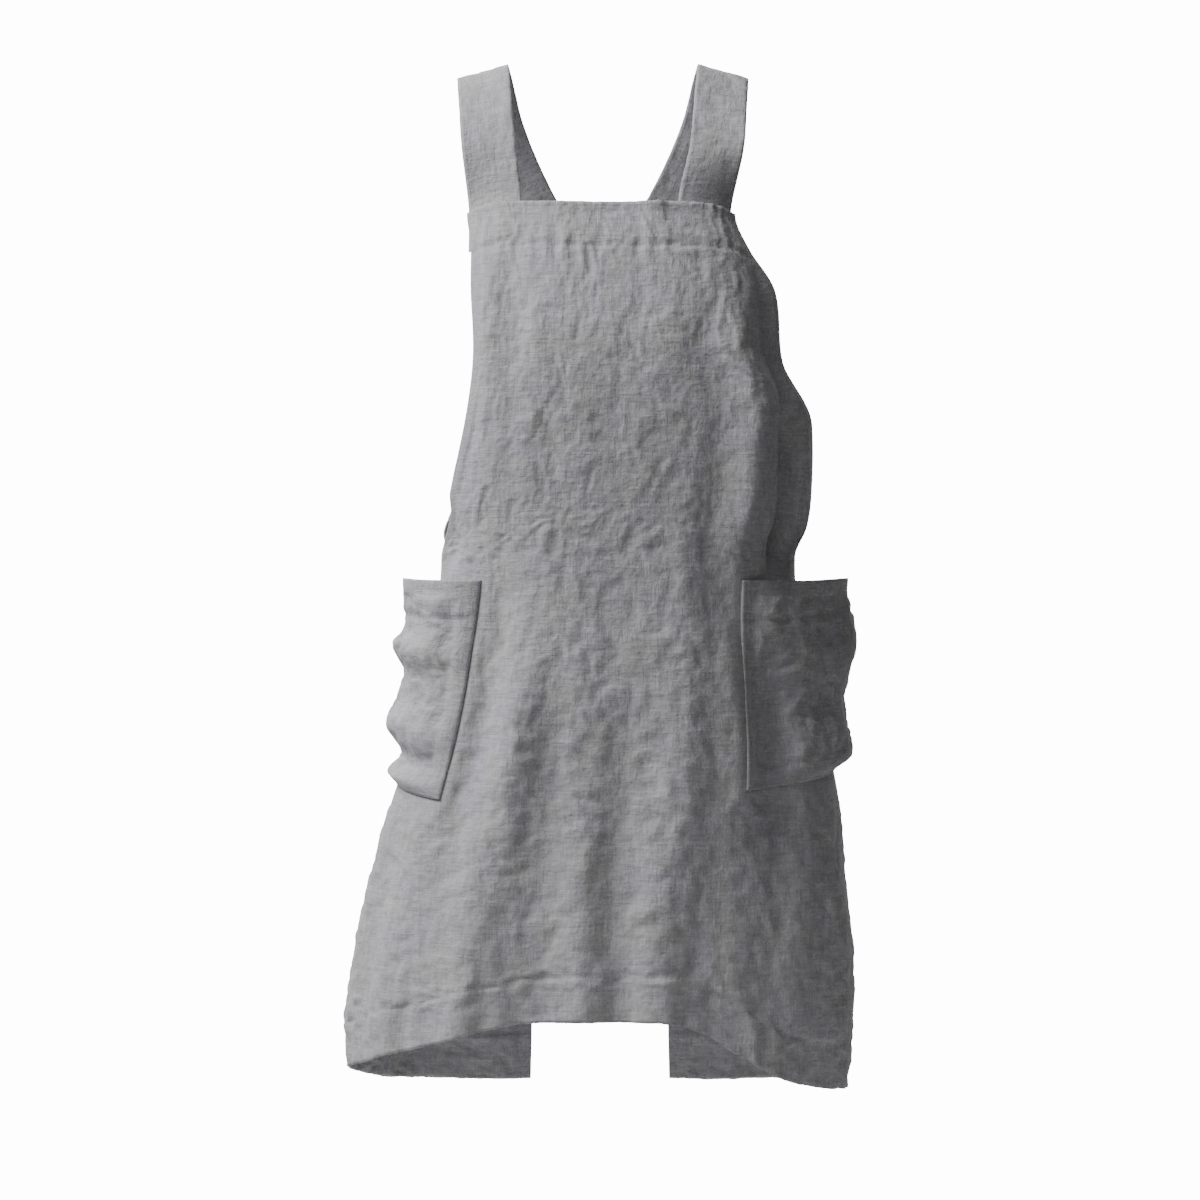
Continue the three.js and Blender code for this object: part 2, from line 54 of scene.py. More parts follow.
BIB_BAND = 45
BACK_BAND = 22.5
HEM_BAND = 46
BIB_SAG = 5  # how far the bib's top edge hangs lower in its middle
CORNER_DROOP = 14  # how far its corners hang
EDGE_HEM = 11  # narrow turned edge along the armholes and the open back
NARROW_HEM = 0.6  # its extra thickness, as a share of HEM_EXTRA
HEM_RIPPLE = 1.6  # depth of the ripples in the front's hem band

STRAP_WIDTH = 55
STRAP_SPREAD = 122  # from the middle to a strap's middle at the shoulder
RIGHT_SPREAD = 1.05  # the right strap's distance, as a share of that
STRAP_LAP = 40  # length of a strap's end behind its band
STRAP_ROLL = 16  # degrees that a strap leans out over the shoulder
STRAP_CORNER = 0.62  # from a back corner to the middle of its strap's end, as a share of the width

POCKET_DROP = 388  # from the bib's top edge down to the pockets' mouths
POCKET_MOUTH = -BIB_DROP - POCKET_DROP
LEFT_POCKET_HEIGHT = 222
RIGHT_POCKET_HEIGHT = 212
POCKET_LIFT = 28  # how far a pocket's bottom edge rises towards the back
POCKET_BAND = 40
POCKET_BULGE = 50  # how far a pocket stands out where its fullness is 1
POCKET_CREASES = 2.4  # how much deeper the creases of the full pockets are
TURNED_EDGE = 2  # a pocket's sewn edge, turned under onto the panels

FOLD_HEIGHT = 26

LINEN_COLOUR = (0.346, 0.338, 0.376)
LINEN_WARM = (0.345, 0.344, 0.343)
THREAD_COLOUR = (0.4, 0.4, 0.41)

WEAVE = 0.85  # the length over which the linen's weave repeats
THREAD = 0.55
STITCH_LENGTH = 2.5
STITCH_PITCH = 3.3
HEM_STITCHES = EDGE_HEM - 2  # this and the next are insets of rows of stitches from an edge
SEAM_STITCHES = 5
STRAP_STITCHES = 4
POCKET_STITCHES = (2.5, 8.5)

# Shape tables


def table(names, rows):
    """Columns of a table by their names."""
    return dict(zip(names.split(), np.array(rows, dtype=float).T))


# The body's half-widths and depths by the share of its length, as shares of those at the hem. A square of 2
# is an ellipse, and a higher one has fuller corners.
SECTIONS = table(
    "down left right front back square",
    [
        (0.0, 0.63, 0.63, 0.72, 0.67, 2.6),
        (0.04, 0.63, 0.67, 0.78, 0.67, 2.8),
        (0.09, 0.63, 0.735, 0.86, 0.68, 3),
        (0.17, 0.615, 0.765, 0.96, 0.68, 3.1),
        (0.24, 0.625, 0.85, 0.975, 0.67, 3.1),
        (0.3, 0.65, 0.845, 0.97, 0.66, 3),
        (0.355, 0.655, 0.82, 0.96, 0.67, 2.9),
        (0.39, 0.628, 0.772, 0.955, 0.69, 2.8),
        (0.43, 0.634, 0.778, 0.95, 0.7, 2.6),
        (0.47, 0.65, 0.8, 0.95, 0.72, 2.5),
        (0.52, 0.687, 0.84, 0.953, 0.75, 2.4),
        (0.58, 0.725, 0.885, 0.96, 0.79, 2.4),
        (0.64, 0.775, 0.931, 0.965, 0.81, 2.4),
        (0.69, 0.83, 0.958, 0.967, 0.83, 2.4),
        (0.75, 0.889, 0.972, 0.973, 0.84, 2.4),
        (0.85, 0.969, 1.004, 0.987, 0.853, 2.4),
        (0.95, 1.01, 0.992, 1.0, 0.865, 2.4),
        (1.0, 1.0, 0.973, 1.0, 0.867, 2.4),
    ],
)

# The angles of the front cloth's side edges by the share of its length.
ARMHOLES = table(
    "down left right",
    [
        (0.0, 49.5, 50.75),
        (0.04, 46.25, 51.75),
        (0.09, 45, 58),
        (0.17, 44.5, 57),
        (0.24, 46.5, 66),
        (0.3, 50, 70.5),
        (0.355, 57.5, 77),
        (0.39, 70, 83.75),
        (0.415, SIDE_SEAM, SIDE_SEAM),
        (1.0, SIDE_SEAM, SIDE_SEAM),
    ],
)
ARMHOLE_BOTTOM = 0.415

# How far the hem dips below the front's middle, as a share of HEM_DIP, by the angle round the body.
HEM_LINE = table(
    "angle dip",
    [
        (-180, 1.0),
        (-140, 0.97),
        (-92, 0.7),
        (-64, 0.53),
        (-47, 0.37),
        (-33, 0.21),
        (-24, 0.09),
        (-14, 0.01),
        (11, 0.0),
        (22, 0.1),
        (29, 0.3),
        (43, 0.65),
        (80, 0.87),
        (140, 0.98),
        (180, 1.0),
    ],
)

# The rise of a back panel's top edge from the side seam to its corner.
BACK_TOP = table("round rise", [(0, 0), (0.2, 0.09), (0.45, 0.47), (0.65, 0.86), (0.8, 0.985), (1, 1)])

# Folds: the share of the length where one starts and ends, its crest's angle at both, its half-width in
# degrees and its height as a share of FOLD_HEIGHT.
FOLDS = table(
    "start end first last spread height",
    [
        (0.05, 0.42, -38, -40, 4, 0.14),
        (0.04, 0.4, -29, -29, 4, -0.12),
        (0.06, 0.56, 30, 29, 4.5, -0.14),
        (0.08, 0.5, 40, 38, 5, 0.4),
        (0.04, 0.3, 50, 51.5, 3.5, -0.3),
        (0.2, 0.46, 51, 58, 5, -1.15),
        (0.33, 0.43, -55, -60, 6, -0.35),
        (0.48, 1.04, -20, -31, 6, 0.4),
        (0.42, 0.86, -33, -37, 4.5, -0.28),
        (0.6, 1.04, -13, -14, 5, -0.14),
        (0.66, 1.04, -3, -3, 5, 0.18),
        (0.55, 1.04, 5, 3, 5, -0.2),
        (0.3, 1.04, 28, 10, 6, 0.3),
        (0.45, 0.8, 36, 30, 5, 0.25),
        (0.45, 0.85, 46, 40, 7, -0.42),
        (0.7, 1.04, 62, 66, 8, 0.3),
        (0.7, 1.04, -62, -66, 8, -0.3),
        (0.5, 1.04, -118, -116, 9, -0.45),
        (0.42, 1.04, -137, -138, 8, 0.42),
        (0.45, 1.04, -153, -154, 7, -0.35),
        (0.5, 1.04, 116, 113, 9, -0.4),
        (0.42, 1.04, 134, 136, 8, 0.46),
        (0.45, 1.04, 151, 154, 7, -0.38),
    ],
)

# Pockets: inner and outer are the angles of the sewn edges at the mouth and at the bottom, and skew moves the
# fullest place across. Fullness is a share of POCKET_BULGE, and dents are hollows and bumps on it.
POCKETS = {
    "left": {
        "sign": -1,
        "height": LEFT_POCKET_HEIGHT,
        "skew": (0.9, 0.9),
        "inner": (41.5, 43.5),
        "outer": (121, 117),
        "fullness": table(
            "down out",
            [
                (0, 0.74), (0.16, 0.63), (0.24, 0.56), (0.35, 0.68), (0.46, 0.36),
                (0.55, 0.47), (0.7, 0.59), (0.88, 0.1), (0.96, 0.26), (1, 0),
            ],
        ),
        "dents": table(
            "across down wide tall out",
            [
                (0.3, 0.4, 0.25, 0.12, 0.12),
                (0.3, 0.6, 0.28, 0.11, -0.16),
                (0.3, 0.85, 0.3, 0.06, -0.08),
            ],
        ),
    },
    "right": {
        "sign": 1,
        "height": RIGHT_POCKET_HEIGHT,
        "skew": (1.4, 1.6),
        "inner": (40, 33.5),
        "outer": (113, 108),
        "fullness": table(
            "down out",
            [
                (0, 1.06), (0.13, 1), (0.27, 1.04), (0.42, 0.94), (0.58, 0.64),
                (0.75, 0.49), (0.88, 0.43), (0.95, 0.4), (1, 0),
            ],
        ),
        "dents": table(
            "across down wide tall out",
            [
                (0.42, 0.3, 0.12, 0.14, -0.14),
                (0.36, 0.62, 0.14, 0.14, -0.12),
                (0.45, 0.84, 0.3, 0.1, 0.1),
            ],
        ),
    },
}

# A strap's middle from the bib to the cross behind: across, depth and drop are shares of its distance from
# the middle, HEM_DEPTH and BIB_DROP, and lean is the turn of its face in degrees, 0 at the front.
STRAP_PATH = table(
    "across depth drop lean",
    [
        (0.93, -0.56, 0.62, 18),
        (0.965, -0.4, 0.28, 38),
        (0.99, -0.2, 0.06, 68),
        (1.0, 0.0, 0.0, 92),
        (0.97, 0.2, 0.08, 122),
        (0.88, 0.42, 0.38, 150),
        (0.66, 0.58, 0.82, 166),
        (0.3, 0.69, 1.36, 176),
        (-0.08, 0.71, 1.86, 180),
        (-0.45, 0.645, 2.3, 184),
    ],
)

# Small helpers


def mix(a, b, t):
    return a + (b - a) * t


def ease(t, start, end):
    t = np.clip((t - start) / (end - start), 0, 1)
    return t * t * (3 - 2 * t)


def unit(v):
    return v / np.maximum(np.linalg.norm(v, axis=-1, keepdims=True), 1e-9)


def curve(x, y):
    """A smooth curve through points, which stays between the values of neighbouring points."""
    steps = np.diff(y) / np.diff(x)
    before, after = steps[:-1], steps[1:]
    least = 3 * np.minimum(abs(before), abs(after))
    middle = np.sign(before) * np.minimum(abs(before + after) / 2, least) * (before * after > 0)
    slopes = np.concatenate([[0], middle, [0]])

    def at(value):
        value = np.clip(value, x[0], x[-1])
        i = np.clip(np.searchsorted(x, value, side="right") - 1, 0, len(x) - 2)
        span = x[i + 1] - x[i]
        t = (value - x[i]) / span
        r = 1 - t
        ends = r * r * (1 + 2 * t) * y[i] + t * t * (3 - 2 * t) * y[i + 1]
        return ends + span * (t * r * r * slopes[i] - t * t * r * slopes[i + 1])

    return at


def waves(u, v, size, seed, count=14):
    """Smooth noise of about unit height over cloth coordinates, from random waves about size long."""
    rng = np.random.default_rng(seed)
    total = np.zeros(np.broadcast(u, v).shape)
    for _ in range(count):
        turn = rng.uniform(0, math.pi)
        k = 2 * math.pi / (size * rng.uniform(0.7, 1.5))
        total += np.sin(k * (u * math.cos(turn) + v * math.sin(turn)) + rng.uniform(0, 2 * math.pi))
    return total / math.sqrt(count / 2)


# The body: one surface that every panel and pocket lies on

section = {side: curve(SECTIONS["down"], SECTIONS[side]) for side in SECTIONS if side != "down"}
armhole = {side: curve(ARMHOLES["down"], ARMHOLES[side]) for side in ("left", "right")}
hem_dip = curve(HEM_LINE["angle"], HEM_LINE["dip"])
back_rise = curve(BACK_TOP["round"], BACK_TOP["rise"])
BIB_CORNER = ARMHOLES["left"][0]


def top_height(angle):
    to_corner = np.minimum(abs(angle) / BIB_CORNER, 1)
    return -BIB_DROP - BIB_SAG * (1 - to_corner**2) - CORNER_DROOP * to_corner**6


def hem_height(angle):
    return -BIB_DROP - FRONT_LENGTH - HEM_DIP * hem_dip(angle)


def share_down(angle, z):
    return (top_height(angle) - z) / (top_height(angle) - hem_height(angle))


def fold_height(angle, down):
    total = np.zeros(np.broadcast(angle, down).shape)
    for start, end, first, last, spread, height in zip(*FOLDS.values()):
        along = (down - start) / (end - start)
        aside = (angle - mix(first, last, along)) / spread
        fade = ease(along, 0, 0.35) * (along < 1)
        if end <= 1:
            fade = fade * (1 - ease(along, 0.6, 1))
        total += FOLD_HEIGHT * height * fade * np.exp(-aside * aside)
    return total


def body_point(angle, z):
    """A point of the smooth body, with no folds."""
    down = share_down(angle, z)
    turn = np.radians(angle)
    sine, cosine = np.sin(turn), np.cos(turn)
    square = section["square"](down)
    reach = (abs(sine) ** square + abs(cosine) ** square) ** (-1 / square)
    half_width = HEM_HALF_WIDTH * np.where(angle < 0, section["left"](down), section["right"](down))
    depth = HEM_DEPTH * np.where(abs(angle) < 90, section["front"](down), section["back"](down))
    return np.stack(np.broadcast_arrays(half_width * reach * sine, -depth * reach * cosine, z), axis=-1)


def outward(surface, angle, z):
    step = 0.5
    across = surface(angle + step, z) - surface(angle - step, z)
    up = surface(angle, z + step) - surface(angle, z - step)
    return unit(np.cross(across, up))


def cloth_point(angle, z):
    """The outer face of the cloth with its main folds."""
    height = fold_height(angle, share_down(angle, z))
    return body_point(angle, z) + outward(body_point, angle, z) * height[..., None]


def off_cloth(angle, z, distance):
    return cloth_point(angle, z) + outward(cloth_point, angle, z) * np.asarray(distance)[..., None]


HALVINGS = 40
FRONT_END = 89  # angles just short of the sides and of the middle of the back
BACK_END = 179


def angle_at_x(x, z, low, high):
    """The angle between two others at which the body has a given x."""
    x, z = np.broadcast_arrays(np.asarray(x, float), np.asarray(z, float))
    low, high = np.full(x.shape, float(low)), np.full(x.shape, float(high))
    for _ in range(HALVINGS):
        middle = (low + high) / 2
        same = (cloth_point(middle, z)[..., 0] - x) * (cloth_point(low, z)[..., 0] - x) > 0
        low, high = np.where(same, middle, low), np.where(same, high, middle)
    return (low + high) / 2


# Crumpling: a sheet slightly too large for its form buckles into creases

LINKS = ((0, 1), (1, 0), (1, 1), (1, -1))  # steps down and across from a point to its neighbours
CRUMPLE_STEPS = 30
CRUMPLE_PUSH = 0.3  # share of the links' corrections that one step makes
FORM_HOLD = 0.002  # share of the way back to the form in one step
CRUMPLED_FROM = 430  # depth below the shoulders at which the creases begin to get stronger
CRUMPLED_TO = 750
SKIRT_CREASES = 2.5  # their strength from CRUMPLED_TO down


def ends(grid, link):
    """The two ends of every link of one kind, as views into a grid."""
    down, across = link
    rows = grid.shape[0] - down
    if across >= 0:
        return grid[:rows, : grid.shape[1] - across], grid[down:, across:]
    return grid[:rows, -across:], grid[down:, :across]


def grid_normals(grid):
    across = np.gradient(grid, axis=1)
    down = np.gradient(grid, axis=0)
    return unit(np.cross(down, across))


def crumple(form, bumps, free, growth):
    """Raises bumps on a form, then lets the sheet's links return to their grown lengths."""
    normals = grid_normals(form)
    sheet = form + normals * (bumps * free)[..., None]
    lengths = []
    for link in LINKS:
        a, b = ends(form, link)
        grown = (ends(growth, link)[0] + ends(growth, link)[1]) / 2
        lengths.append(np.linalg.norm(b - a, axis=-1) * (1 + grown))
    for _ in range(CRUMPLE_STEPS):
        move = np.zeros_like(sheet)
        for link, length in zip(LINKS, lengths):
            a, b = ends(sheet, link)
            gap = b - a
            size = np.linalg.norm(gap, axis=-1)
            push = gap * (0.5 * (size - length) / size)[..., None]
            near, far = ends(move, link)
            near += push
            far -= push
        drift = (sheet + CRUMPLE_PUSH * move - form) * (1 - FORM_HOLD)
        sheet = form + drift * free[..., None]
    return sheet


def creases(u, v, seed, coarse=1.0, fine=1.0):
    """Heights of the creases of washed linen over cloth coordinates in millimetres."""
    bend_u = u + 5 * waves(u, v, 50, seed + 1)
    bend_v = v + 5 * waves(u, v, 50, seed + 2)
    patches = np.clip(0.9 + 0.25 * waves(u, v, 90, seed + 3), 0.3, 1.6)
    big = 0.8 * waves(bend_u * 1.5, bend_v * 0.4, 80, seed + 4)
    middle = 0.35 * waves(bend_u * 1.2, bend_v * 0.8, 22, seed + 5)
    ridges = 0.55 * (0.6 - abs(waves(bend_u, bend_v, 17, seed + 6, 24)))
    small = 0.42 * waves(bend_u, bend_v * 1.2, 12, seed + 7, 30)
    return coarse * big + fine * patches * (middle + ridges + small)


def skirt_creases(u, v, seed):
    """Creases that get deeper from the waist down."""
    return creases(u, v, seed, fine=mix(1.0, SKIRT_CREASES, ease(v, CRUMPLED_FROM, CRUMPLED_TO)))


def panel_growth(u, v, seed):
    return 0.004 + 0.003 * waves(u, v, 80, seed)


# Meshes


def inner_face(outer, thickness):
    return outer - grid_normals(outer) * thickness[..., None]


def cloth_mesh(name, outer, inner, u, v):
    """A closed sheet between the grids of its two faces, with cloth coordinates as UVs."""
    points = np.concatenate([outer.reshape(-1, 3), inner.reshape(-1, 3)]) * METRES
    to_inner = u.size
    index = np.arange(to_inner).reshape(u.shape)
    a, b, c, d = index[:-1, :-1], index[1:, :-1], index[1:, 1:], index[:-1, 1:]
    front = np.stack([a, b, c, d], axis=-1).reshape(-1, 4)
    back = front[:, ::-1] + to_inner
    rim = np.concatenate([index[:, 0], index[-1, 1:], index[-2::-1, -1], index[0, -2:0:-1]])
    after = np.roll(rim, -1)
    edge = np.stack([rim, rim + to_inner, after + to_inner, after], axis=-1)
    faces = np.concatenate([front, back, edge])
    mesh = bpy.data.meshes.new(name)
    mesh.vertices.add(len(points))
    mesh.vertices.foreach_set("co", points.ravel())
    mesh.loops.add(faces.size)
    mesh.loops.foreach_set("vertex_index", faces.ravel().astype(np.int32))
    mesh.polygons.add(len(faces))
    mesh.polygons.foreach_set("loop_start", np.arange(0, faces.size, 4, dtype=np.int32))
    mesh.polygons.foreach_set("use_smooth", np.ones(len(faces), dtype=bool))
    mesh.update(calc_edges=True)
    flat = np.stack([u.ravel(), -v.ravel()], axis=-1) * METRES
    uv = np.concatenate([flat, flat])[faces.ravel()]
    mesh.uv_layers.new(name="UVMap").data.foreach_set("uv", uv.ravel().astype(np.float32))
    return finish_piece(name, mesh)


def finish_piece(name, mesh):
    piece = bpy.data.objects.new(name, mesh)
    bpy.context.scene.collection.objects.link(piece)
    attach(piece, "root")
    return piece


def arc(grid, middle=0):
    """Distance across a grid's rows, zero at one column."""
    step = np.linalg.norm(np.diff(grid, axis=1), axis=-1)
    along = np.concatenate([np.zeros((len(grid), 1)), np.cumsum(step, axis=1)], axis=1)
    return along - along[:, middle : middle + 1]


# Panels

FRONT_COLUMNS = 190
FRONT_ROWS = 252
BACK_COLUMNS = 84
BACK_ROWS = 196
POCKET_COLUMNS = 84
POCKET_ROWS = 84
STRAP_COLUMNS = 18
STRAP_ROWS = 230
CROWDING = table("place reach", [(0.4, 0.02), (0.056, 0.01), (0.948, 0.012)])
CROWDED = 1.6  # how many more rows there are at the middle of such a place


def crowded_rows(count, crowding):
    """Shares from 0 to 1 down a sheet, closer together near some places."""
    even = np.linspace(0, 1, 800)
    places = zip(*crowding.values())
    density = 1 + sum(CROWDED * np.exp(-(((even - place) / reach) ** 2)) for place, reach in places)
    total = np.cumsum(density)
    return np.interp(np.linspace(total[0], total[-1], count), total, even)[:, None]


def front_panel():
    down = crowded_rows(FRONT_ROWS, CROWDING)
    across = np.linspace(0, 1, FRONT_COLUMNS)[None, :]
    angle = mix(-armhole["left"](down), armhole["right"](down), across)
    z = mix(top_height(angle), hem_height(angle), down)
    form = cloth_point(angle, z)
    u = arc(form)
    u = u - np.array([np.interp(0, angles, along) for angles, along in zip(angle, u)])[:, None]
    v = -z
    edge_left, edge_right = u - u[:, :1], u[:, -1:] - u
    to_side = np.minimum(edge_left, edge_right)
    above_hem = z - hem_height(angle)
    below_top = top_height(angle) - z
    free = loose(to_side) * (1 - under_pockets(angle, z))
    bumps = skirt_creases(u, v, 11)
    bumps = bumps + puckers(above_hem - HEM_BAND, u, 5) + puckers(below_top - BIB_BAND, u, 6)
    bumps = bumps + HEM_RIPPLE * waves(u, 0 * u, 30, 8) * (above_hem < HEM_BAND)
    outer = crumple(form, bumps, free, panel_growth(u, v, 7))
    outer = pulled_in(outer, to_side, [above_hem - HEM_BAND, below_top - BIB_BAND])
    banded = np.maximum(above_hem < HEM_BAND, below_top < BIB_BAND)
    narrow = (to_side < EDGE_HEM) * (down < ARMHOLE_BOTTOM)
    inner = inner_face(outer, CLOTH + HEM_EXTRA * np.maximum(banded, NARROW_HEM * narrow))
    panel = Panel(outer)
    panel.stitch(above_hem, HEM_BAND)
    panel.stitch(below_top, BIB_BAND)
    open_rows = down[:, 0] < ARMHOLE_BOTTOM - 0.02
    for rows, inset in ((open_rows, HEM_STITCHES), (~open_rows, SEAM_STITCHES)):
        panel.stitch(edge_left, inset, across=False, where=rows)
        panel.stitch(edge_right, inset, across=False, where=rows)
    return cloth_mesh("front_cloth", outer, inner, u, v), panel.stitching("front_stitches")


def down_pocket(shape, z):
    """The share of a pocket's height at z, and a mask that is 1 from its mouth to its bottom."""
    down = (POCKET_MOUTH - z) / shape["height"]
    return np.clip(down, 0, 1), ease(down, -0.1, -0.01) * (1 - ease(down, 1.01, 1.06))


def loose(to_side):
    """How freely cloth crumples: hardly at its side edges, and fully from 16 mm in."""
    return ease(to_side, -1, 16)


def under_pockets(angle, z):
    """1 under a pocket and along its sewn edges, 0 away from it."""
    covered = np.zeros(angle.shape)
    for shape in POCKETS.values():
        down, along = down_pocket(shape, z)
        inner = mix(*shape["inner"], down)
        beside = ease(shape["sign"] * angle, inner - 3.5, inner - 0.8)
        covered = np.maximum(covered, beside * along)
    return covered


def puckers(distance, u, seed):
    """Small gathers across a stitched line, on both sides of it."""
    return 0.7 * waves(u, 0 * u, 18, seed) * np.exp(-((distance / 18) ** 2))


def pulled_in(outer, to_side, distances, strength=1.0):
    """The cloth with a groove along each line of stitches, and a slight roll on both sides of it."""
    depth = 0
    for distance in distances:
        depth = depth + 0.75 * np.exp(-((distance / 3.2) ** 2))
        depth = depth - 0.25 * np.exp(-(((abs(distance) - 8) / 4) ** 2))
    return outer - grid_normals(outer) * (strength * depth * ease(to_side, 0, 12))[..., None]


# The triangles of a stitch between its ends 0 and 1, its sides 2 and 3, its top 4 and its underside 5
STITCH_FACES = ((0, 2, 4), (2, 1, 4), (1, 3, 4), (3, 0, 4), (2, 0, 5), (1, 2, 5), (3, 1, 5), (0, 3, 5))
STITCH_POINTS = 6


class Panel:
    """The finished outer face of one piece of cloth, and the rows of stitches on it."""

    def __init__(self, outer):
        self.outer, self.normals = outer, grid_normals(outer)
        self.rows = []

    def stitch(self, distance, level, across=True, where=None):
        """A row of stitches at one level of a distance over the grid, across its columns or down its rows."""
        distance = distance if across else distance.T
        turn = (0, 1, 2) if across else (1, 0, 2)
        points, normals = self.outer.transpose(turn), self.normals.transpose(turn)
        rising = distance[-1, 0] > distance[0, 0]
        order = slice(None) if rising else slice(None, None, -1)
        place = np.arange(len(distance))[order]
        columns = np.arange(distance.shape[1])
        if where is not None:
            columns = columns[where]
        row = np.array([np.interp(level, distance[order, j], place) for j in columns])
        low = np.clip(row.astype(int), 0, len(distance) - 2)
        part = (row - low)[:, None]
        line = mix(points[low, columns], points[low + 1, columns], part)
        facing = mix(normals[low, columns], normals[low + 1, columns], part)
        self.rows.append(stitch_row(line, unit(facing)))

    def stitching(self, name):
        """All the stitches as one piece."""
        points = np.concatenate([row.reshape(-1, 3) for row in self.rows]) * METRES
        firsts = np.arange(0, len(points), STITCH_POINTS)[:, None, None]
        faces = (np.array(STITCH_FACES)[None] + firsts).reshape(-1, 3)
        mesh = bpy.data.meshes.new(name)
        mesh.from_pydata(points.tolist(), [], faces.tolist())
        mesh.polygons.foreach_set("use_smooth", np.ones(len(faces), dtype=bool))
        return finish_piece(name, mesh)


def stitch_row(line, facing):
    """Six points a stitch: its two ends, its two sides, its top and its underside."""
    step = np.linalg.norm(np.diff(line, axis=0), axis=-1)
    along = np.concatenate([[0], np.cumsum(step)])
    centres = np.arange(STITCH_PITCH / 2, along[-1], STITCH_PITCH)

    def at(values, places):
        return np.stack([np.interp(places, along, values[:, k]) for k in range(3)], axis=-1)

    middle, normal = at(line, centres), unit(at(facing, centres))
    forward = unit(at(line, centres + 0.5) - at(line, centres - 0.5))
    ahead = forward * STITCH_LENGTH / 2
    aside = np.cross(normal, forward) * THREAD / 2
    rise = normal * THREAD * 0.8
    tips = [middle - ahead, middle + ahead]
    return np.stack([*tips, middle - aside, middle + aside, middle + rise, middle - rise], axis=1)


def back_edge(sign, z):
    """The angle of a back panel's open edge."""
    down = (z - BACK_CORNER_HEIGHT) / (hem_height(180) - BACK_CORNER_HEIGHT)
    half = mix(BACK_GAP_TOP, BACK_GAP, down) / 2
    return angle_at_x(sign * half, z, sign * BACK_END, sign * SIDE_SEAM)


def back_panel(side, sign):
    seam = sign * SIDE_SEAM
    corner = back_edge(sign, BACK_CORNER_HEIGHT)
    down = np.linspace(0, 1, BACK_ROWS)[:, None]
    across = np.linspace(0, 1, BACK_COLUMNS)[None, :]
    turned = 1 - across if sign < 0 else across
    rough = mix(BACK_CORNER_HEIGHT, hem_height(corner), down)
    angle = mix(seam, back_edge(sign, rough), turned)
    lowest = mix(top_height(seam), hem_height(seam), ARMHOLE_BOTTOM)
    top = mix(lowest, BACK_CORNER_HEIGHT, back_rise(turned))
    z = mix(top, hem_height(angle), down)
    form = cloth_point(angle, z)
    u = arc(form, BACK_COLUMNS // 2) + sign * 400
    v = -z
    to_side = np.minimum(u - u[:, :1], u[:, -1:] - u)
    above_hem = z - hem_height(angle)
    below_top = top - z
    pocket_down, along = down_pocket(POCKETS[side], z)
    outer_edge = mix(*POCKETS[side]["outer"], pocket_down)
    in_pocket = (1 - ease(abs(angle), outer_edge + 1, outer_edge + 4)) * along
    free = loose(to_side) * (1 - in_pocket)
    bumps = skirt_creases(u, v, 21 + sign) + puckers(above_hem - HEM_BAND, u, 15)
    outer = crumple(form, bumps, free, panel_growth(u, v, 17))
    outer = pulled_in(outer, to_side, [above_hem - HEM_BAND, below_top - BACK_BAND])
    banded = np.maximum(above_hem < HEM_BAND, below_top < BACK_BAND)
    open_edge = abs(u - (u[:, :1] if sign < 0 else u[:, -1:]))
    inner = inner_face(outer, CLOTH + HEM_EXTRA * np.maximum(banded, NARROW_HEM * (open_edge < EDGE_HEM)))
    panel = Panel(outer)
    panel.stitch(above_hem, HEM_BAND)
    panel.stitch(below_top, BACK_BAND)
    panel.stitch(open_edge, HEM_STITCHES, across=False)
    return cloth_mesh(f"back_cloth_{side}", outer, inner, u, v), panel.stitching(f"back_stitches_{side}")


def dent_height(dents, across, down):
    total = np.zeros(np.broadcast(across, down).shape)
    for place, depth, wide, tall, out in zip(*dents.values()):
        total += out * np.exp(-(((across - place) / wide) ** 2) - ((down - depth) / tall) ** 2)
    return total


